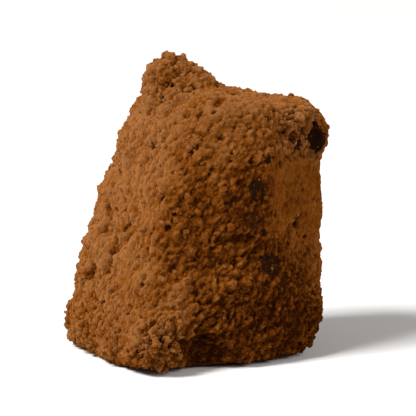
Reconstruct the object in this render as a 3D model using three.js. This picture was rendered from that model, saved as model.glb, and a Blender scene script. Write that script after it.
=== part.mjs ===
// A cocoa-dusted chocolate truffle: one solid lump of ganache with a flat foot.
//
// The ganache was piped onto a sheet, so the lump is a leaning, rounded-square frustum with
// a nearly level top and a blunt ear left standing where the nozzle was pulled away.
// Millimetres, +Z up. The origin is on the table, under the middle of the lump.
// The broad front face looks along -Y and the ear stands over the -X side.
import * as THREE from "three";
import { ImprovedNoise } from "three/addons/math/ImprovedNoise.js";

// ---- Driving dimensions ----

// The lump below its top: a rounded square that narrows and leans towards +X as it rises.
const FOOT_HALF_WIDTH = 10.8;
const FOOT_HALF_DEPTH = 11.1;
const NARROWING = 0.07; // half width lost for each millimetre of height
const LEAN = 0.235; // sideways shift for each millimetre of height
const SQUARENESS = 3.9; // exponent of the rounded-square section

// The top, which falls away towards +X.
const TOP_HEIGHT = 25.0;
const TOP_FALL = 0.165;
const TOP_ROUNDING = 4.4;
const FOOT_ROUNDING = 3.4;

// Broad flats that trim the body. The angle turns from the front, -Y, towards +X.
const FLATS = [
  { name: "front right corner, rubbed smooth", angle: 30, distance: 11.75, inwards: 0.1, rounding: 1.6 },
  { name: "upper front, leaning back to the rim", angle: -6, distance: 18.1, inwards: 0.45, rounding: 3.0 },
  { name: "left side, drawn in under the ear", angle: -112, distance: 13.65, inwards: 0.31, rounding: 2.2 },
  { name: "left shoulder, sloping up into the ear", angle: -112, distance: 17.4, inwards: 0.55, rounding: 2.0 },
];

// The ear: a blunt cone between two balls, blended into the top.
const EAR_ROOT = { x: 1.3, y: -0.6, z: 21.3, radius: 4.8 };
const EAR_TIP = { x: -1.3, y: 0.3, z: 26.2, radius: 2.4 };
const EAR_BLEND = 2.0;

// Lumps that stand out of the sides, and dents pressed into them.
const LUMPS = [
  { name: "ganache foot pressed out at the front", x: -6.9, y: -10.6, z: 2.2, radius: 3.1, blend: 1.8 },
  { name: "swelling low on the back", x: 3.7, y: 9.0, z: 5.4, radius: 3.8, blend: 3.0 },
  { name: "knob on the back right edge", x: 9.8, y: 7.5, z: 14.1, radius: 2.3, blend: 2.0 },
];
const DENTS = [
  { name: "bare pit under the top right corner", x: 11.5, y: -3.8, z: 20.0, radius: 1.4, blend: 0.6 },
  { name: "pocket beside the front lump", x: -2.4, y: -13.8, z: 0.2, radius: 2.9, blend: 1.2 },
  { name: "hollow in the front face", x: -0.5, y: -22.6, z: 13.0, radius: 13.2, blend: 2.0 },
  { name: "dip in the top", x: 7.9, y: 1.2, z: 35.0, radius: 11.1, blend: 2.0 },
  { name: "hollow in the left face", x: -22.8, y: 1.6, z: 14.0, radius: 13.5, blend: 2.0 },
  { name: "scoop in the back", x: -3.5, y: 21.5, z: 16.1, radius: 12.1, blend: 2.0 },
];

// Uneven skin: each layer of relief has its own wavelength and height.
const RELIEF = [
  { wavelength: 8.5, height: 0.62 },
  { wavelength: 4.2, height: 0.36 },
  { wavelength: 2.3, height: 0.24 },
];
const RELIEF_START = { x: 31.7, y: 12.3, z: 47.1 }; // which stretch of the noise is used
const RELIEF_STRIDE = 17; // how far apart the layers' stretches of the noise start

// The grid that the surface is netted in.
const CELL_SIZE = 0.8;
const GRID_START = new THREE.Vector3(-13.0, -15.9, -1.0);
const CELLS = { across: 36, deep: 40, high: 40 };
const EVENING_ROUNDS = 6;
const SLOPE_STEP = 0.02; // how far apart the slope of the form is measured

// ---- The form: how far a point is outside the lump, negative when it is inside ----

const relief = new ImprovedNoise();

// The larger (or smaller) of two distances, with the crease between them rounded off.
function roundedMax(a, b, blend) {
  const near = Math.max(blend - Math.abs(a - b), 0) / blend;
  return Math.max(a, b) + (near * near * blend) / 4;
}

function roundedMin(a, b, blend) {
  return -roundedMax(-a, -b, blend);
}

function ball(point, centre) {
  return Math.hypot(point.x - centre.x, point.y - centre.y, point.z - centre.z) - centre.radius;
}

// The leaning, narrowing body between its foot and its top.
function body(point) {
  const narrowed = NARROWING * point.z;
  const across = Math.abs(point.x - LEAN * point.z) / (FOOT_HALF_WIDTH - narrowed);
  const deep = Math.abs(point.y) / (FOOT_HALF_DEPTH - narrowed);
  const ring = Math.pow(Math.pow(across, SQUARENESS) + Math.pow(deep, SQUARENESS), 1 / SQUARENESS);
  const side = (ring - 1) * (FOOT_HALF_WIDTH - narrowed);
  const top = point.z - (TOP_HEIGHT - TOP_FALL * point.x);
  return roundedMax(side, top, TOP_ROUNDING);
}

// A flat leans in as it rises.
function flat(point, { angle, distance, inwards }) {
  const turn = THREE.MathUtils.degToRad(angle);
  const outwards = point.x * Math.sin(turn) - point.y * Math.cos(turn);
  return outwards + inwards * point.z - distance;
}

const earAxis = new THREE.Line3(new THREE.Vector3().copy(EAR_ROOT), new THREE.Vector3().copy(EAR_TIP));

// A cone with a ball at each end: the radius runs evenly from the root's to the tip's.
function ear(point) {
  const along = earAxis.closestPointToPointParameter(point, true);
  const radius = THREE.MathUtils.lerp(EAR_ROOT.radius, EAR_TIP.radius, along);
  return earAxis.at(along, new THREE.Vector3()).distanceTo(point) - radius;
}

// How far the uneven skin stands out at a point, or sinks in.
function skin(point) {
  return RELIEF.reduce((sum, layer, index) => {
    const stride = index * RELIEF_STRIDE;
    const value = relief.noise(
      point.x / layer.wavelength + RELIEF_START.x + stride,
      point.y / layer.wavelength + RELIEF_START.y + stride,
      point.z / layer.wavelength + RELIEF_START.z + stride,
    );
    return sum + layer.height * value;
  }, 0);
}

function outside(point) {
  let distance = body(point);
  for (const face of FLATS) distance = roundedMax(distance, flat(point, face), face.rounding);
  for (const dent of DENTS) distance = roundedMax(distance, -ball(point, dent), dent.blend);
  distance = roundedMin(distance, ear(point), EAR_BLEND);
  for (const lump of LUMPS) distance = roundedMin(distance, ball(point, lump), lump.blend);
  distance -= skin(point);
  return roundedMax(distance, -point.z, FOOT_ROUNDING);
}

// ---- The mesh: a net with one point in every cell of a grid that the surface runs through ----

const STEPS = [1, CELLS.across, CELLS.across * CELLS.deep]; // to the next corner along each axis

function cornerPoint(corner) {
  const across = corner % CELLS.across;
  const deep = Math.floor(corner / STEPS[1]) % CELLS.deep;
  const high = Math.floor(corner / STEPS[2]);
  return new THREE.Vector3(across, deep, high).multiplyScalar(CELL_SIZE).add(GRID_START);
}

// One step back to the surface, straight down the slope of the form.
function settle(point) {
  const here = outside(point);
  const slope = new THREE.Vector3();
  for (const axis of ["x", "y", "z"]) {
    const beside = point.clone();
    beside[axis] += SLOPE_STEP;
    slope[axis] = (outside(beside) - here) / SLOPE_STEP;
  }
  return point.addScaledVector(slope, -here / slope.lengthSq());
}

// A quad is cut along its shorter diagonal.
function trianglesOf(quad, points) {
  const [a, b, c, d] = quad;
  const firstIsShorter = points[a].distanceTo(points[c]) < points[b].distanceTo(points[d]);
  return firstIsShorter ? [a, b, c, a, c, d] : [b, c, d, b, d, a];
}

function netOfTheForm() {
  const corners = CELLS.across * CELLS.deep * CELLS.high;
  const isInside = Array.from({ length: corners }, (_, corner) => outside(cornerPoint(corner)) < 0);
  const halfCell = new THREE.Vector3().setScalar(CELL_SIZE / 2);
  const points = [];
  const numberOf = new Map();
  const pointIn = (cell) => {
    if (!numberOf.has(cell)) {
      numberOf.set(cell, points.length);
      points.push(cornerPoint(cell).add(halfCell));
    }
    return numberOf.get(cell);
  };
  const quads = [];
  // Where an edge of the grid crosses the surface, the four cells round it share a quad.
  for (let axis = 0; axis < 3; axis += 1) {
    const second = STEPS[(axis + 1) % 3];
    const third = STEPS[(axis + 2) % 3];
    for (let corner = 0; corner + STEPS[axis] < corners; corner += 1) {
      if (isInside[corner] === isInside[corner + STEPS[axis]]) continue;
      const quad = [corner, corner - second, corner - second - third, corner - third].map(pointIn);
      quads.push(isInside[corner] ? quad : quad.reverse());
    }
  }
  return { points, quads };
}

// Each point moves to the middle of those it is joined to, and settles on the surface again.
function evenOut({ points, quads }) {
  const joined = points.map(() => new Set());
  for (const quad of quads) {
    quad.forEach((point, side) => {
      const next = quad[(side + 1) % 4];
      joined[point].add(next);
      joined[next].add(point);
    });
  }
  for (let round = 0; round < EVENING_ROUNDS; round += 1) {
    const before = points.map((point) => point.clone());
    points.forEach((point, number) => {
      point.set(0, 0, 0);
      for (const other of joined[number]) point.add(before[other]);
      settle(settle(point.divideScalar(joined[number].size)));
    });
  }
}

function truffleGeometry() {
  const { points, quads } = netOfTheForm();
  evenOut({ points, quads });
  const geometry = new THREE.BufferGeometry().setFromPoints(points);
  return geometry.setIndex(quads.flatMap((quad) => trianglesOf(quad, points)));
}

// Puts the origin under the middle of the lump, at the level of its foot.
function standOnOrigin(geometry) {
  geometry.computeBoundingBox();
  const { min, max } = geometry.boundingBox;
  return geometry.translate(-(min.x + max.x) / 2, -(min.y + max.y) / 2, -min.z);
}

const cocoa = new THREE.MeshStandardMaterial({ color: 0x8a552b, roughness: 1, metalness: 0 });

const truffle = new THREE.Mesh(standOnOrigin(truffleGeometry()), cocoa);
truffle.name = "truffle";

const model = new THREE.Group();
model.add(truffle);

export default model;
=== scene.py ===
import math

import bpy
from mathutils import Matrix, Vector


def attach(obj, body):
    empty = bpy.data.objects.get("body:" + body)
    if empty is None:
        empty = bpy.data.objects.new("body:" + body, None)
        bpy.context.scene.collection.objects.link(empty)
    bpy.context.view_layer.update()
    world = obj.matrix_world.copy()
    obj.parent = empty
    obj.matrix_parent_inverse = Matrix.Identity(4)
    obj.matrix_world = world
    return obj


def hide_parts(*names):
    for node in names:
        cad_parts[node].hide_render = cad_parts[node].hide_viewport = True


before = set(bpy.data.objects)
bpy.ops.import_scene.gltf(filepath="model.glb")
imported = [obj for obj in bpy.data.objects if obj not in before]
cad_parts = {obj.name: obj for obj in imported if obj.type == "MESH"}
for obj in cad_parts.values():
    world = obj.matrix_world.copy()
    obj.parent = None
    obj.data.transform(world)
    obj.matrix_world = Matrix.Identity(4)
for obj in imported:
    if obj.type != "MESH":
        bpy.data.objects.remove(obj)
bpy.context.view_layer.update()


# ---- The lump: ganache under its coat of cocoa powder ----
# Soft ganache that was piped, then rolled in cocoa powder, which came off in a few small spots. Its
# colour is darker down the front; painted light makes it lighter on its left side and its top, which face
# the key lamp, and painted shade darker low down, at the foot, in creases and in hollows. The solid's own
# mesh is remeshed finely and raised into crumbs, folds, pits and creases.

MM = 0.001  # in metres, which are Blender's unit
CELL = 0.178  # side of the faces of the coat's surface, in millimetres
SAME_POINT = 0.001  # points of the solid's mesh that are nearer than this, in millimetres, are one

# Marks on the coat are strokes, each (start, end, width, strength), or spots, each (middle, width).
# They are in millimetres, in the frame of the model.
BARE_STROKES = [  # the powder came off
    ((10.1, -2.7, 20.1), (10.4, -2.6, 19.6), 1.6, 1.0),  # the pit under the top right corner
    ((9.4, -3.2, 20.8), (10.2, -2.9, 20.6), 0.9, 1.0),
    ((9.0, -3.8, 20.4), (8.8, -3.9, 19.6), 0.85, 0.75),
    ((1.2, -9.2, 16.9), (1.8, -9.1, 16.2), 1.3, 0.85),  # smudges down the front
    ((0.4, -9.4, 13.9), (1.8, -9.3, 13.6), 0.9, 0.6),
    ((2.5, -9.2, 10.0), (3.1, -9.1, 8.7), 1.2, 0.8),
    ((4.1, -8.9, 7.9), (4.4, -8.6, 7.2), 0.9, 0.6),
    ((-5.3, -10.7, 0.4), (-3.9, -10.1, 0.3), 0.4, 1.0),  # beside the pressed-out foot: painted shadow, dark where the gap by the table lies in shade
    ((8.2, 9.2, 8.4), (7.8, 9.5, 9.6), 0.9, 0.7),  # spots on the back
    ((-2.5, 11.6, 16.0), (-4.0, 11.0, 14.5), 1.1, 0.7),
    ((-6.8, 9.5, 6.0), (-6.2, 10.0, 7.0), 0.8, 0.7),
]
BARE_SPOTS = [
    ((-1.5, -9.0, 15.4), 0.9), ((-0.9, -9.0, 15.8), 0.7), ((2.1, -9.1, 12.4), 0.7),
    ((1.7, -9.2, 10.1), 0.6), ((2.9, -8.4, 19.2), 1.0), ((5.6, -6.4, 21.4), 0.9),
    ((6.5, -5.8, 20.7), 1.0), ((7.4, -5.4, 19.9), 1.15), ((5.2, -7.7, 9.2), 0.5),
    ((-6.8, -8.2, 14.0), 0.4),
]
DARKENED_STROKES = [  # the powder is painted darker
    ((1.1, -9.2, 17.6), (1.3, -9.4, 10.5), 3.4, 1.0),  # beside the rubbed corner
    ((2.5, -9.6, 9.5), (4.5, -9.0, 2.5), 5.0, 1.0),
    ((8.5, -6.5, 3.0), (-2.5, -10.2, 1.5), 3.4, 0.8),  # along the foot of the front: painted shade
    ((-3.3, -8.9, 16.5), (-2.6, -10.0, 5.0), 2.4, 0.75),  # down the left of the front
    ((-7.3, -7.4, 16.5), (-7.3, -8.6, 9.0), 1.8, 0.5),
    ((-5.6, -11.4, 1.8), (-3.0, -10.2, 1.2), 2.6, 1.2),  # beside the pressed-out foot: painted shade in its gap
    ((-10.9, 4.0, 6.0), (-9.9, -7.0, 5.0), 3.6, 0.25),  # low on the left
    ((6.0, 9.5, 12.0), (-4.0, 10.5, 8.0), 6.0, 0.6),  # across the back
]
CRAG_STROKES = [  # the surface broke up into clods
    ((-9.6, -11.8, 4.0), (-8.4, -12.4, 1.8), 3.6, 1.0),  # the foot pressed out at the front
    ((5.2, -6.4, 21.3), (9.4, -3.2, 20.9), 2.0, 0.8),  # the corner beside the bare pit
    ((-3.8, -1.4, 25.0), (-3.6, 0.2, 27.5), 4.6, 0.38),  # the ear
    ((-6.4, 1.5, 21.0), (-6.0, -3.5, 21.0), 2.5, 0.35),  # the left shoulder
    ((-11.2, 3.5, 4.0), (-10.6, -6.0, 3.4), 2.0, 0.3),  # low on the left
]
PITS = [  # small holes that the powder didn't fill
    ((4.4, -6.0, 23.5), 0.6), ((1.1, -7.6, 22.3), 0.6), ((-1.7, -7.8, 21.5), 0.7),
    ((-4.0, -7.4, 20.7), 0.6), ((-3.2, -6.3, 23.4), 0.8), ((-4.3, -5.4, 23.4), 0.7),
    ((-5.9, -0.2, 23.0), 0.7), ((-5.5, -1.4, 23.0), 0.5), ((-5.3, -0.6, 25.5), 0.7),
    ((6.6, -5.0, 22.8), 0.5), ((-4.3, -1.6, 25.8), 0.4), ((7.9, -4.9, 20.7), 0.7),
    ((9.5, -2.9, 21.4), 0.7), ((9.0, -3.2, 20.2), 0.6), ((10.0, -4.3, 16.4), 0.5),
    ((-8.4, -3.8, 15.8), 0.5), ((-9.2, -5.0, 10.1), 0.6), ((-10.0, -0.2, 8.0), 0.7),
    ((-9.5, -7.2, 7.9), 0.6), ((-6.6, -8.3, 14.6), 0.6), ((-7.0, -8.7, 9.6), 0.8),
    ((-7.1, -8.1, 13.3), 0.6), ((-6.2, -6.9, 18.3), 0.4), ((-1.0, -8.7, 19.3), 0.5),
    ((-9.7, -12.8, 4.0), 0.9), ((-10.7, -12.2, 4.2), 0.8), ((-9.9, -12.9, 2.2), 0.7),
    ((-8.6, -13.2, 3.0), 0.8), ((-8.9, -12.4, 4.6), 0.7), ((-8.0, -13.0, 2.0), 0.7),
    ((-4.3, -10.2, 1.9), 1.0),
]
KNOBS = [  # crumbs that stand out of the outline
    ((-3.7, 0.2, 28.3), 1.3), ((-7.7, 7.2, 14.8), 1.0),
]
CREASES = [  # creases and cracks, sunk in and painted darker: painted shade
    ((-8.2, -11.4, 5.6), (-7.9, -12.6, 4.6), 0.4, 1.5),  # round the right of the pressed-out foot
    ((-7.9, -12.6, 4.6), (-7.0, -12.8, 3.4), 0.5, 1.8),
    ((-7.0, -12.8, 3.4), (-5.4, -11.4, 1.4), 0.6, 1.8),
    ((-9.2, -11.0, 5.4), (-10.6, -10.5, 4.9), 0.3, 1.1),  # round its left
    ((-10.6, -10.4, 4.9), (-11.6, -11.0, 3.6), 0.35, 1.6),
    ((-11.7, -11.0, 3.4), (-11.4, -10.6, 1.3), 0.35, 1.5),
    ((-8.4, 4.2, 13.9), (-8.7, 3.0, 12.6), 0.3, 1.2),  # up the left side
    ((-10.1, -0.9, 8.0), (-9.6, -0.5, 9.6), 0.35, 1.4),
    ((-9.6, -0.4, 9.6), (-9.2, 0.0, 11.0), 0.35, 1.5),
    ((-9.1, 0.1, 11.1), (-8.6, -0.5, 13.0), 0.3, 1.3),
    ((-9.0, -1.6, 11.2), (-8.6, -4.0, 12.9), 0.2, 1.1),
    ((-9.2, -0.9, 10.5), (-8.8, -2.7, 12.2), 0.2, 1.0),
    ((-9.4, 3.5, 11.2), (-8.7, 2.4, 12.5), 0.25, 1.1),
    ((-9.2, 2.7, 11.2), (-8.8, 1.8, 12.2), 0.2, 1.0),
    ((-8.0, -4.1, 16.0), (-7.8, -4.9, 14.8), 0.2, 0.8),
    ((-10.7, 4.0, 6.8), (-10.3, 1.8, 8.2), 0.25, 1.2),
    ((-11.3, 2.4, 5.0), (-10.8, 0.6, 6.2), 0.25, 1.0),
    ((-3.5, -2.7, 25.4), (-2.3, -2.8, 25.7), 0.3, 1.3),  # on the ear and the top
    ((-1.6, -6.1, 24.4), (-0.3, -5.7, 24.6), 0.3, 1.3),
    ((-2.9, -9.0, 11.8), (-1.5, -9.2, 12.1), 0.2, 0.85),  # the curved crack down the front
    ((-1.5, -9.2, 12.1), (1.0, -9.1, 12.0), 0.2, 0.8),
    ((4.8, -7.9, 11.6), (7.2, -6.6, 13.5), 0.14, 0.8),  # scratches across the rubbed corner
    ((5.2, -7.6, 11.0), (5.6, -7.4, 12.0), 0.14, 0.7),
]
RIDGES = [  # smears of powder that stand out and are painted lighter: painted light
    ((-7.9, -9.9, 6.2), (-5.6, -9.5, 8.6), 0.35, 1.0),  # on the front
    ((-3.7, -10.1, 7.1), (-1.3, -9.9, 8.1), 0.35, 1.0),
    ((-9.5, 2.0, 10.6), (-10.0, 0.7, 8.4), 0.8, 1.0),  # up the left side
    ((-9.2, -2.4, 9.6), (-8.7, -3.2, 12.0), 0.5, 0.7),
    ((-7.1, 2.0, 18.8), (-8.2, 1.0, 14.3), 0.8, 1.1),
    ((-8.2, -3.8, 14.5), (-7.4, -4.0, 17.5), 0.5, 0.8),
    ((-2.5, -6.4, 23.9), (2.5, -6.2, 23.8), 0.5, 0.8),  # along the front edge of the top
]
MOULDED = [  # changes of the form, each (start, end, width, how far outwards)
    ((-5.8, 0.9, 27.3), (-5.6, 0.8, 26.8), 1.5, 0.2),  # the left of the ear
    ((-5.7, 1.4, 24.9), (-6.2, 0.8, 24.0), 1.6, 0.3),
    ((-1.8, -0.6, 27.3), (-0.6, -1.2, 26.2), 1.8, 0.5),  # the right slope of the ear
    ((-10.8, -13.0, 2.4), (-8.9, -13.6, 1.8), 2.6, -0.8),  # the tip of the pressed-out foot
    ((-6.8, -12.5, 4.4), (-5.2, -11.8, 1.6), 2.0, -0.9),  # the hollow on its right
    ((-5.2, -10.8, 1.6), (-3.4, -10.2, 1.4), 2.0, -0.9),
    ((-11.2, -10.2, 6.0), (-11.6, -10.4, 2.6), 1.6, -0.45),  # the valley on its left
    ((-11.0, 8.5, 4.6), (-11.1, 7.5, 3.0), 3.6, -0.45),  # low on the left, at the back
    ((11.0, -2.4, 17.0), (10.6, -2.4, 12.0), 4.0, -0.4),  # the right edge
]
MOULDED_SOFTNESS = 0.8
LIFTED = [((-9.8, -11.2, 0.1), (-8.4, -11.2, 0.1), 4.0, 1.0)]  # the underside of the pressed-out foot
LIFT = -0.25  # in millimetres: it is moved inwards, which raises it off the table

MATH, VECTOR = "ShaderNodeMath", "ShaderNodeVectorMath"
RANGE, PART = "ShaderNodeMapRange", "ShaderNodeSeparateXYZ"
NOISE, CRUMBLE = "ShaderNodeTexNoise", "ShaderNodeTexVoronoi"
HALF = 0.5  # the middle of a noise, which runs from 0 to 1


def add(tree, kind, inputs=(), output=0, **settings):
    """Adds a node to a tree, with its settings, values and links, and returns one of its outputs."""
    node = tree.nodes.new(kind)
    for name, value in settings.items():
        setattr(node, name, value)
    for name, value in dict(inputs).items():
        if isinstance(value, bpy.types.NodeSocket):
            tree.links.new(value, node.inputs[name])
        else:
            node.inputs[name].default_value = value
    return node.outputs[output]


def geometry_tree(name):
    """A new tree for a Geometry Nodes modifier: the tree, the mesh coming in and where it leaves."""
    tree = bpy.data.node_groups.new(name, "GeometryNodeTree")
    for direction in ("INPUT", "OUTPUT"):
        tree.interface.new_socket("Geometry", in_out=direction, socket_type="NodeSocketGeometry")
    return tree, tree.nodes.new("NodeGroupInput").outputs[0], tree.nodes.new("NodeGroupOutput").inputs[0]


def apply_modifier(piece, kind, **settings):
    """Adds a modifier to a piece and applies it at once."""
    bpy.context.view_layer.objects.active = piece
    modifier = piece.modifiers.new(kind.lower(), kind)
    for name, value in settings.items():
        setattr(modifier, name, value)
    bpy.ops.object.modifier_apply(modifier=modifier.name)


def strokes(tree, place, rows, softness):
    """How strong the marks are at a place: each is an oval with a focus at each end and a soft border."""
    total = None
    for start, end, width, strength in rows:
        to_start = add(tree, VECTOR, {0: place, 1: start}, "Value", operation="DISTANCE")
        to_end = add(tree, VECTOR, {0: place, 1: end}, "Value", operation="DISTANCE")
        both = add(tree, MATH, {0: to_start, 1: to_end}, operation="ADD")
        length = math.dist(start, end)
        near = add(tree, RANGE, {
            "Value": both, "From Min": length + width * (1 - softness),
            "From Max": length + width * (1 + softness), "To Min": strength, "To Max": 0.0,
        }, interpolation_type="SMOOTHSTEP")
        total = near if total is None else add(tree, MATH, {0: total, 1: near}, operation="MAXIMUM")
    return total


def as_strokes(spots):
    """Spots as strokes of full strength that start and end at one place."""
    return [(middle, middle, width, 1.0) for middle, width in spots]


bpy.ops.object.select_all(action="DESELECT")
lump = bpy.data.objects.new("coated_lump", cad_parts["truffle"].data.copy())
bpy.context.scene.collection.objects.link(lump)
lump.data.materials.clear()
lump.select_set(True)
bpy.context.view_layer.objects.active = lump
bpy.ops.object.mode_set(mode="EDIT")
bpy.ops.mesh.select_all(action="SELECT")
bpy.ops.mesh.remove_doubles(threshold=SAME_POINT * MM)
bpy.ops.mesh.tris_convert_to_quads()
bpy.ops.object.mode_set(mode="OBJECT")
apply_modifier(lump, "SUBSURF", levels=1, render_levels=1)
apply_modifier(lump, "REMESH", mode="VOXEL", voxel_size=CELL * MM)

tree, mesh, mesh_out = geometry_tree("caked_relief")
normal = add(tree, "GeometryNodeInputNormal")
place = add(tree, VECTOR, {0: add(tree, "GeometryNodeInputPosition"), "Scale": 1 / MM}, operation="SCALE")

# Places strayed by noise, coarse and fine, which give ragged edges to patches and to spots.
strayed = {}
for name, wavelength, reach in (("patch", 1.3, 2.8), ("spot", 0.55, 0.9)):
    stray = add(tree, NOISE, {"Vector": place, "Scale": 1 / wavelength, "Detail": 3.0}, "Color")
    stray = add(tree, VECTOR, {0: stray, 1: (HALF,) * 3}, operation="SUBTRACT")
    strayed[name] = add(tree, VECTOR, {0: stray, 1: (reach,) * 3, 2: place}, operation="MULTIPLY_ADD")

# The rolling drew the crumbs out along one direction, and the folds on the left side still more:
# their patterns are squeezed along it by that much.
ROLLED = (0.6, -0.24, 0.76)
along = add(tree, VECTOR, {0: place, 1: ROLLED}, "Value", operation="DOT_PRODUCT")
drawn = {}
for name, source, squeeze in (
    ("crumbs", place, -0.45),
    ("folds", place, -0.74),
    ("pores", strayed["spot"], -0.4),
):
    less = add(tree, MATH, {0: along, 1: squeeze}, operation="MULTIPLY")
    less = add(tree, VECTOR, {0: ROLLED, "Scale": less}, operation="SCALE")
    drawn[name] = add(tree, VECTOR, {0: source, 1: less}, operation="ADD")

# How strong each kind of mark is at a place. The last value is how soft its border is, as a part of its
# width.
marks = {}
for name, where, rows, softness in (
    ("bare", strayed["spot"], BARE_STROKES + as_strokes(BARE_SPOTS), 0.35),
    ("damp", strayed["patch"], DARKENED_STROKES, 0.5),
    ("crag", place, CRAG_STROKES, 0.4),
    ("pit", strayed["spot"], as_strokes(PITS), 0.5),
    ("knob", strayed["spot"], as_strokes(KNOBS), 0.5),
    ("crease", strayed["spot"], CREASES, 0.6),
    ("ridge", strayed["spot"], RIDGES, 0.8),
    ("lifted", place, LIFTED, 0.6),
):
    marks[name] = strokes(tree, where, rows, softness)

# Sides of the lump, by the way that the surface faces, and bands of height: each runs from where there
# is none of it to where it is full.
for name, source, part, none, full in (
    ("left", normal, "X", -0.62, -0.95),
    ("up", normal, "Z", 0.2, 0.55),
    ("right", normal, "X", 0.5, 0.8),
    ("low", place, "Z", 10.0, 3.5),
    ("off_foot", place, "Z", 0.05, 0.7),
):
    marks[name] = add(tree, RANGE, {
        "Value": add(tree, PART, {0: source}, part), "From Min": none, "From Max": full,
    }, interpolation_type="SMOOTHSTEP")

# The corner that was rubbed smooth: its face looks to the front right and has a sharp left border.
# It isn't damp.
# The darkened strokes leave it out.
RUBBED_NORMAL = (0.55, -0.835, 0.0)
facing = add(tree, VECTOR, {0: normal, 1: RUBBED_NORMAL}, "Value", operation="DOT_PRODUCT")
rubbed = 1.0
for source, none, full in (
    (facing, 0.62, 0.76),
    (add(tree, PART, {0: strayed["spot"]}, "X"), 2.7, 3.1),
    (add(tree, PART, {0: strayed["patch"]}, "Z"), 10.0, 12.5),
    (add(tree, PART, {0: strayed["patch"]}, "Z"), 19.6, 18.4),
):
    inside = add(tree, RANGE, {"Value": source, "From Min": none, "From Max": full},
                 interpolation_type="SMOOTHSTEP")
    rubbed = add(tree, MATH, {0: inside, 1: rubbed}, operation="MULTIPLY")
marks["rubbed"] = rubbed
not_rubbed = add(tree, MATH, {0: rubbed, 1: -1.0, 2: 1.0}, operation="MULTIPLY_ADD")
marks["damp"] = add(tree, MATH, {0: marks["damp"], 1: not_rubbed}, operation="MULTIPLY")

# How rough the coat is: less so on top, at the sides and where it was rubbed or is gone, more so low
# down and on the crags.
rough = 1.0
for name, change in (
    ("left", -0.15), ("up", -0.2), ("rubbed", -0.8), ("right", -0.3), ("bare", -0.5),
    ("crag", 0.3), ("low", 0.35),
):
    factor = add(tree, MATH, {0: marks[name], 1: change, 2: 1.0}, operation="MULTIPLY_ADD")
    rough = add(tree, MATH, {0: factor, 1: rough}, operation="MULTIPLY")

# Noises from -0.5 to 0.5. Folded at the middle, one makes caked crumbs: puffs with sharp creases.
noises = {}
for name, way, size, detail in (
    ("swell", "crumbs", 3.2, 1.0),
    ("clod", "crumbs", 1.5, 2.0),
    ("grain", "crumbs", 0.42, 2.0),
    ("fold", "folds", 1.0, 2.0),
    ("large crumb", "crumbs", 1.15, 1.5),
    ("small crumb", "crumbs", 0.55, 1.5),
):
    noise = add(tree, NOISE, {"Vector": drawn[way], "Scale": 1 / size, "Detail": detail, "Roughness": 0.65})
    noises[name] = add(tree, MATH, {0: noise, 1: HALF}, operation="SUBTRACT")
    if "crumb" in name:
        noises[name] = add(tree, MATH, {0: noises[name]}, operation="ABSOLUTE")

# Gaps between the clods, -1 at their bottom.
GAP_SPACING = 1.1
GAP_HALF_WIDTH = 0.2  # as a part of the spacing
gap = add(tree, CRUMBLE, {"Vector": strayed["spot"], "Scale": 1 / GAP_SPACING}, "Distance",
          feature="DISTANCE_TO_EDGE")
gap = add(tree, RANGE, {
    "Value": gap, "From Min": 0.0, "From Max": GAP_HALF_WIDTH, "To Min": -1.0, "To Max": 0.0,
}, interpolation_type="SMOOTHSTEP")

# Pores that the powder didn't fill. Each cell of a net draws a number, and a cell whose number is over
# the least holds a pore. A pore's radius is a part of its cell's size.
LARGEST_PORE, NO_PORE = 0.32, 0.001
PORE_FLOOR, PORE_RIM = 0.3, 1.1  # where its slope starts and ends, as parts of its radius
pores = []
for size, least in ((1.5, 0.3), (0.8, 0.5)):
    pore = add(tree, CRUMBLE, {"Vector": drawn["pores"], "Scale": 1 / size}, "Distance")
    pore_radius = add(tree, RANGE, {
        "Value": add(tree, PART, {0: pore.node.outputs["Color"]}),
        "From Min": least, "To Min": NO_PORE, "To Max": LARGEST_PORE,
    })
    pore = add(tree, MATH, {0: pore, 1: pore_radius}, operation="DIVIDE")
    pores.append(add(tree, RANGE, {
        "Value": pore, "From Min": PORE_FLOOR, "From Max": PORE_RIM, "To Min": 1.0, "To Max": 0.0,
    }, interpolation_type="SMOOTHSTEP"))

# How far the surface is raised, in millimetres: each layer by its amount, where its mask is strong. It
# starts a little sunk, as crumbs only raise it.
height = -0.1
for layer, mask, amount in (
    (noises["swell"], 1.0, 0.4),
    (noises["large crumb"], rough, 1.1),
    (noises["small crumb"], rough, 1.0),
    (noises["grain"], rough, 0.9),
    (noises["fold"], 1.0, 0.5),
    (noises["fold"], marks["left"], 1.1),
    (noises["clod"], marks["crag"], 2.1),
    (gap, marks["crag"], 0.7),
    (pores[0], 1.0, -0.45),
    (pores[1], 1.0, -0.34),
    (marks["knob"], 1.0, 0.45),
    (marks["pit"], 1.0, -0.42),
    (marks["crease"], 1.0, -0.3),
    (marks["ridge"], 1.0, 0.32),
    (marks["bare"], 1.0, -0.14),
):
    layer = add(tree, MATH, {0: layer, 1: mask}, operation="MULTIPLY")
    height = add(tree, MATH, {0: layer, 1: amount, 2: height}, operation="MULTIPLY_ADD")
for change in MOULDED:
    moulded = strokes(tree, place, [change], MOULDED_SOFTNESS)
    height = add(tree, MATH, {0: height, 1: moulded}, operation="ADD")
height = add(tree, MATH, {0: height, 1: marks["off_foot"]}, operation="MULTIPLY")
height = add(tree, MATH, {0: marks["lifted"], 1: LIFT, 2: height}, operation="MULTIPLY_ADD")

# How far a place stands out from those round it, within about half a millimetre. The material paints
# shade into the hollows from it, and light onto what stands out.
EVENING_ROUNDS = 8
evened = add(tree, "GeometryNodeBlurAttribute", {"Value": height, "Iterations": EVENING_ROUNDS},
             data_type="FLOAT")
cavity = add(tree, MATH, {0: height, 1: evened}, operation="SUBTRACT")
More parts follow.
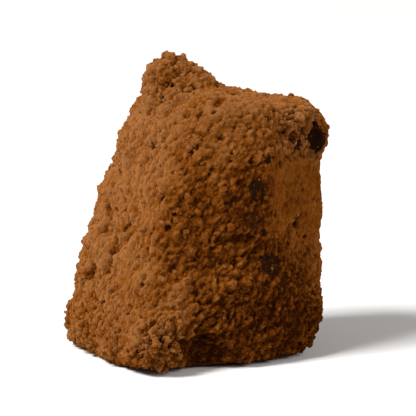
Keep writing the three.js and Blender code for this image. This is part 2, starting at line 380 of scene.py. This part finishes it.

# How light the coat is painted, from 0, a thin dark film, to 1. It varies in clouds, and it carries
# painted light and shade, as marked below.
CLOUD_SIZE = 2.6
clouds = add(tree, NOISE, {"Vector": place, "Scale": 1 / CLOUD_SIZE, "Detail": 3.0})
clouds = add(tree, MATH, {0: clouds, 1: HALF}, operation="SUBTRACT")
coat = 0.5
for layer, amount in (
    # painted light: lighter on the left side and the top, which face the key lamp
    (marks["left"], 0.24),
    (marks["up"], 0.2),
    # darker along the darkened strokes, which at the foot are painted shade
    (marks["damp"], -0.28),
    # painted shade: darker low down
    (marks["low"], -0.14),
    (marks["rubbed"], -0.04),
    # painted shade in the creases, painted light on the ridges
    (marks["crease"], -0.16),
    (marks["ridge"], 0.12),
    (clouds, 0.5),
):
    coat = add(tree, MATH, {0: layer, 1: amount, 2: coat}, operation="MULTIPLY_ADD")

for name, field in (
    ("bare", marks["bare"]), ("rough", rough), ("crag", marks["crag"]), ("coat", coat), ("cavity", cavity),
):
    mesh = add(tree, "GeometryNodeStoreNamedAttribute", {"Geometry": mesh, "Name": name, "Value": field},
               data_type="FLOAT", domain="POINT")
outwards = add(tree, MATH, {0: height, 1: MM}, operation="MULTIPLY")
outwards = add(tree, VECTOR, {0: normal, "Scale": outwards}, operation="SCALE")
mesh = add(tree, "GeometryNodeSetPosition", {"Geometry": mesh, "Offset": outwards})
tree.links.new(mesh, mesh_out)
apply_modifier(lump, "NODES", node_group=tree)
bpy.ops.object.shade_smooth()


def linear(hex_colour):
    """An sRGB hex colour as the linear RGBA that Blender's sockets take."""
    channels = [int(hex_colour[start:start + 2], 16) / 255 for start in (1, 3, 5)]
    return *[c / 12.92 if c <= 0.04045 else ((c + 0.055) / 1.055) ** 2.4 for c in channels], 1.0


# Cocoa powder's own grains are 0.01 to 0.05 mm, too fine to show, so the specks and the grit stand for
# clusters of them and are drawn coarser. Sizes and depths are in millimetres.
SPECK_SIZE, SPECK_DEPTH = 0.2, 0.1
GRIT_SIZE, GRIT_DEPTH = 0.3, 0.12
GRIT_CONTRAST = 0.22
PAINTED_HOLLOW_SHADE = 1.85  # painted shade: the tone falls by this for each millimetre that a place lies deeper than those round it, and rises as much where it stands out
POWDER_TONES = ((0.3, "#5c2e0a"), (0.55, "#7b4412"), (0.95, "#905e33"))  # by tone: how thick the powder lies, with painted light and shade added
# The darkest tone: a thin film, and the painted shade in hollows.
DARKEST_TONE, GANACHE = "#341604", "#2b180c"
BARE_RAGGEDNESS = 1.3  # how far the specks break up the edge of a bare spot
BARE_FROM, BARE_TO = 1.1, 1.4  # between these, powder gives way to ganache
POWDER_ROUGHNESS, GANACHE_ROUGHNESS = 1.0, 0.5


def cocoa_powder(name):
    """Cocoa powder, caked by handling: dull and grainy, lighter where it lies thick, ganache below it.
    Its tone carries painted light and shade, from the coat and the cavity that the relief stores.
    """
    material = bpy.data.materials.new(name)
    material.use_nodes = True
    tree = material.node_tree
    shader = tree.nodes["Principled BSDF"]
    coordinates = add(tree, "ShaderNodeTexCoord", output="Object")
    place = add(tree, "ShaderNodeMapping", {"Vector": coordinates, "Scale": (1 / MM,) * 3})
    coat, cavity, bare = [
        add(tree, "ShaderNodeAttribute", output="Fac", attribute_name=attribute)
        for attribute in ("coat", "cavity", "bare")
    ]
    specks = add(tree, NOISE, {"Vector": place, "Scale": 1 / SPECK_SIZE, "Detail": 2.0, "Roughness": 0.7})
    grit = add(tree, CRUMBLE, {"Vector": place, "Scale": 1 / GRIT_SIZE}, "Distance")
    shade = add(tree, PART, {0: grit.node.outputs["Color"]})

    # Grains differ in tone at random. Those in a hollow are painted darker and those that stand out
    # lighter:
    # painted shade and light.
    tone = add(tree, MATH, {0: cavity, 1: PAINTED_HOLLOW_SHADE, 2: coat}, operation="MULTIPLY_ADD")
    tone = add(tree, MATH, {0: shade, 1: GRIT_CONTRAST, 2: tone}, operation="MULTIPLY_ADD")
    tone = add(tree, MATH, {0: tone, 1: GRIT_CONTRAST / 2}, operation="SUBTRACT")
    colour = add(tree, "ShaderNodeValToRGB", {0: tone})
    ramp = colour.node.color_ramp
    ramp.elements.remove(ramp.elements[0])
    ramp.elements[0].position, ramp.elements[0].color = 0.0, linear(DARKEST_TONE)
    for position, hex_colour in POWDER_TONES:
        ramp.elements.new(position).color = linear(hex_colour)

    # Ganache shows where the powder came off, and has a slight gloss.
    show = add(tree, MATH, {0: specks, 1: BARE_RAGGEDNESS, 2: bare}, operation="MULTIPLY_ADD")
    show = add(tree, RANGE, {"Value": show, "From Min": BARE_FROM, "From Max": BARE_TO})
    colour = add(tree, "ShaderNodeMix", {0: show, 6: colour, 7: linear(GANACHE)}, 2, data_type="RGBA")
    tree.links.new(colour, shader.inputs["Base Color"])
    roughness = add(tree, RANGE, {"Value": show, "To Min": POWDER_ROUGHNESS, "To Max": GANACHE_ROUGHNESS})
    tree.links.new(roughness, shader.inputs["Roughness"])
    shader.inputs["Specular IOR Level"].default_value = 0.0
    shader.inputs["Diffuse Roughness"].default_value = 1.0
    bump = add(tree, "ShaderNodeBump", {"Height": specks, "Strength": 0.7, "Distance": SPECK_DEPTH * MM})
    bump = add(tree, "ShaderNodeBump", {
        "Height": grit, "Strength": 0.5, "Distance": GRIT_DEPTH * MM, "Normal": bump,
    }, invert=True)
    tree.links.new(bump, shader.inputs["Normal"])
    return material


lump.data.materials.append(cocoa_powder("cocoa powder, caked"))
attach(lump, "root")
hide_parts("truffle")


# ---- Dust, grains, crumbs and clumps of powder that cling to the coat ----
# Loose cocoa powder sticks to the coat as dust, grains and crumbs, and as a few larger clumps, most of
# them round the pressed-out foot. Each is flattened and partly sunk into the coat. Single grains of the
# powder are too fine to show, so the dust and the grains here are clusters of them.

SUNK = 0.4  # how deep the middle of each is sunk, as a part of the radius of its kind's smallest
BARE_TAKES = 0.6  # the part of them that a bare spot doesn't hold
PATCH_SIZE = 3.0  # in millimetres: they lie thicker in patches
PATCH_FROM, PATCH_TO = 0.4, 0.62
THINNEST, THICKEST = 0.4, 1.6
LOWEST = 0.5  # in millimetres: none is set lower, so that none is under the foot
SQUASH_FROM, SQUASH_TO = (0.7, 0.6, 0.4), (1.5, 1.1, 0.8)  # along, across and off the surface
TURN_FROM, TURN_TO = (-0.5, -0.5, 0), (0.5, 0.5, math.tau)  # tilted a little, turned any way round
TINT_FROM, TINT_TO = -0.2, 0.3  # darker or lighter than the coat that it lies on
STANDS_OUT = 0.02  # what the material takes for how far each stands out, in millimetres, for a little painted light
UNEVEN_SIZE, UNEVEN_REACH = 1.2, 1.7  # as parts of the radius of its kind's smallest


def scatter(name, grain, size, spread, share, crag_share, seed):
    """Copies of a grain, sunk into the coat: size and spread in mm, shares in copies on 1 mm2."""
    piece = bpy.data.objects.new(name, bpy.data.meshes.new(name))
    bpy.context.scene.collection.objects.link(piece)
    tree, _, mesh_out = geometry_tree(name)
    bare, rough, crag, coat = [
        add(tree, "GeometryNodeInputNamedAttribute", {"Name": attribute}, "Attribute", data_type="FLOAT")
        for attribute in ("bare", "rough", "crag", "coat")
    ]
    position = add(tree, "GeometryNodeInputPosition")
    patches = add(tree, NOISE, {"Vector": position, "Scale": 1 / (PATCH_SIZE * MM), "Detail": 2.0})
    patches = add(tree, RANGE, {
        "Value": patches, "From Min": PATCH_FROM, "From Max": PATCH_TO,
        "To Min": THINNEST, "To Max": THICKEST,
    })
    density = add(tree, MATH, {0: crag, 1: crag_share / MM ** 2, 2: share / MM ** 2},
                  operation="MULTIPLY_ADD")
    above_foot = add(tree, MATH, {0: add(tree, PART, {0: position}, "Z"), 1: LOWEST * MM},
                     operation="GREATER_THAN")
    holds = add(tree, MATH, {0: bare, 1: -BARE_TAKES, 2: 1.0}, operation="MULTIPLY_ADD")
    for field in (patches, rough, above_foot, holds):
        density = add(tree, MATH, {0: density, 1: field}, operation="MULTIPLY")
    coated = add(tree, "GeometryNodeObjectInfo", {"Object": lump}, "Geometry")
    points = add(tree, "GeometryNodeDistributePointsOnFaces", {
        "Mesh": coated, "Density": density, "Seed": seed,
    })
    upright = points.node.outputs["Rotation"]
    sunk = add(tree, VECTOR, {0: points.node.outputs["Normal"], "Scale": -SUNK * size * MM},
               operation="SCALE")
    points = add(tree, "GeometryNodeSetPosition", {"Geometry": points, "Offset": sunk})

    # Most of them are near the smallest size: the draw is squared.
    draw = add(tree, "FunctionNodeRandomValue", {2: 0.0, 3: 1.0, "Seed": seed + 1}, 1, data_type="FLOAT")
    draw = add(tree, MATH, {0: draw, 1: 2.0}, operation="POWER")
    scale = add(tree, MATH, {0: draw, 1: spread, 2: size}, operation="MULTIPLY_ADD")
    squash = add(tree, "FunctionNodeRandomValue", {0: SQUASH_FROM, 1: SQUASH_TO, "Seed": seed + 2},
                 data_type="FLOAT_VECTOR")
    scale = add(tree, VECTOR, {0: squash, "Scale": scale}, operation="SCALE")
    turn = add(tree, "FunctionNodeRandomValue", {0: TURN_FROM, 1: TURN_TO, "Seed": seed + 3},
               data_type="FLOAT_VECTOR")
    turn = add(tree, "FunctionNodeRotateRotation", {"Rotation": upright, "Rotate By": turn},
               rotation_space="LOCAL")
    grains = add(tree, "GeometryNodeInstanceOnPoints", {
        "Points": points, "Instance": add(tree, "GeometryNodeObjectInfo", {"Object": grain}, "Geometry"),
        "Rotation": turn, "Scale": scale,
    })
    tint = add(tree, "FunctionNodeRandomValue", {2: TINT_FROM, 3: TINT_TO, "Seed": seed + 4}, 1,
               data_type="FLOAT")
    tint = add(tree, MATH, {0: coat, 1: tint}, operation="ADD")
    for attribute, field in (("coat", tint), ("bare", 0.0), ("cavity", STANDS_OUT)):
        grains = add(tree, "GeometryNodeStoreNamedAttribute", {
            "Geometry": grains, "Name": attribute, "Value": field,
        }, data_type="FLOAT", domain="INSTANCE")
    mesh = add(tree, "GeometryNodeRealizeInstances", {"Geometry": grains})
    uneven = add(tree, NOISE, {
        "Vector": position, "Scale": 1 / (UNEVEN_SIZE * size * MM), "Detail": 2.0,
    }, "Color")
    uneven = add(tree, VECTOR, {0: uneven, 1: (HALF,) * 3}, operation="SUBTRACT")
    uneven = add(tree, VECTOR, {0: uneven, "Scale": UNEVEN_REACH * size * MM}, operation="SCALE")
    mesh = add(tree, "GeometryNodeSetPosition", {"Geometry": mesh, "Offset": uneven})
    tree.links.new(mesh, mesh_out)
    apply_modifier(piece, "NODES", node_group=tree)
    return piece


# The shapes that are copied, about 2 mm across. The sizes scale them.
CRUMB_SIDE, CRUMB_ROUNDNESS = 1.5, 0.6
bpy.ops.object.select_all(action="DESELECT")
bpy.ops.mesh.primitive_ico_sphere_add(subdivisions=1, radius=MM)
grain = bpy.context.object
bpy.ops.mesh.primitive_cube_add(size=CRUMB_SIDE * MM)
crumb = bpy.context.object
bpy.ops.object.mode_set(mode="EDIT")
bpy.ops.mesh.select_all(action="SELECT")
bpy.ops.mesh.subdivide(number_cuts=1, smoothness=CRUMB_ROUNDNESS)
bpy.ops.object.mode_set(mode="OBJECT")
bpy.ops.mesh.primitive_ico_sphere_add(subdivisions=3, radius=MM)
clump = bpy.context.object

for name, shape, size, spread, share, crag_share, seed in (
    ("powder_dust", grain, 0.07, 0.06, 3.7, 0.0, 11),
    ("powder_grains", grain, 0.11, 0.10, 3.6, 0.0, 17),
    ("powder_crumbs", crumb, 0.17, 0.16, 0.6, 0.5, 23),
    ("powder_clumps", clump, 0.32, 0.35, 0.012, 0.12, 37),
):
    piece = scatter(name, shape, size, spread, share, crag_share, seed)
    piece.data.materials.clear()
    piece.data.materials.append(lump.data.materials[0])
    bpy.ops.object.select_all(action="DESELECT")
    piece.select_set(True)
    bpy.ops.object.shade_flat()
    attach(piece, "root")
    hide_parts("truffle")
for shape in (grain, crumb, clump):
    bpy.data.objects.remove(shape)


# ---- Floor, light and camera ----
# A pale table under soft light: a lamp high on the left, a weaker one on the right. The camera looks
# from the front left, a little down. Lengths in metres, angles in degrees.

FLOOR_SIZE = 4.0
FLOOR_COLOUR, FLOOR_ROUGHNESS = "#f2f2f3", 0.9
LAMPS = (  # name, azimuth, elevation, distance, size, power in watts, colour
    ("key", -78, 48, 1.4, 0.5, 30.0, (1.0, 0.98, 0.95)),
    ("fill", 38, 35, 0.8, 0.5, 2.6, (1.0, 0.95, 0.9)),
)
LIT_PLACE = Vector((0, 0, 0.012))
SKY_STRENGTH = 0.2
AIM = Vector((-0.47, 0.24, 13.0)) * MM
CAMERA_AZIMUTH, CAMERA_ELEVATION, CAMERA_DISTANCE = -22.15, 9.39, 585.4 * MM
SENSOR_WIDTH, FOCAL_LENGTH = 36.0, 536.8  # in millimetres, as Blender takes them
SHIFT_X, SHIFT_Y = 0.017, 0.013
CLIP_START = 0.01

bpy.ops.object.select_all(action="DESELECT")
bpy.ops.mesh.primitive_plane_add(size=FLOOR_SIZE)
floor = bpy.context.object
floor.name = "floor"

# Painted board, matt: it shows the light's colour and a soft shadow, and hardly any gloss.
white = bpy.data.materials.new("painted board, matt white")
white.use_nodes = True
white.node_tree.nodes["Principled BSDF"].inputs["Base Color"].default_value = linear(FLOOR_COLOUR)
white.node_tree.nodes["Principled BSDF"].inputs["Roughness"].default_value = FLOOR_ROUGHNESS
floor.data.materials.append(white)


def towards(azimuth, elevation):
    """The direction to a place round the model: azimuth in degrees from the front, -Y, towards +X."""
    around, up = math.radians(azimuth), math.radians(elevation)
    return Vector((math.sin(around) * math.cos(up), -math.cos(around) * math.cos(up), math.sin(up)))


for name, azimuth, elevation, distance, size, power, colour in LAMPS:
    lamp = bpy.data.lights.new(name, "AREA")
    lamp.size, lamp.energy, lamp.color = size, power, colour
    light = bpy.data.objects.new(name, lamp)
    bpy.context.scene.collection.objects.link(light)
    direction = towards(azimuth, elevation)
    light.location = LIT_PLACE + direction * distance
    light.rotation_euler = direction.to_track_quat("Z", "Y").to_euler()

world = bpy.data.worlds.new("studio")
world.use_nodes = True
world.node_tree.nodes["Background"].inputs["Color"].default_value = (1, 1, 1, 1)
world.node_tree.nodes["Background"].inputs["Strength"].default_value = SKY_STRENGTH
bpy.context.scene.world = world
bpy.context.scene.view_settings.view_transform = "Standard"

camera_data = bpy.data.cameras.new("camera")
camera = bpy.data.objects.new("camera", camera_data)
bpy.context.scene.collection.objects.link(camera)
camera.location = AIM + towards(CAMERA_AZIMUTH, CAMERA_ELEVATION) * CAMERA_DISTANCE
camera.rotation_euler = (camera.location - AIM).to_track_quat("Z", "Y").to_euler()
camera_data.sensor_width = SENSOR_WIDTH
camera_data.lens = FOCAL_LENGTH
camera_data.shift_x, camera_data.shift_y = SHIFT_X, SHIFT_Y
camera_data.clip_start = CLIP_START
bpy.context.scene.camera = camera
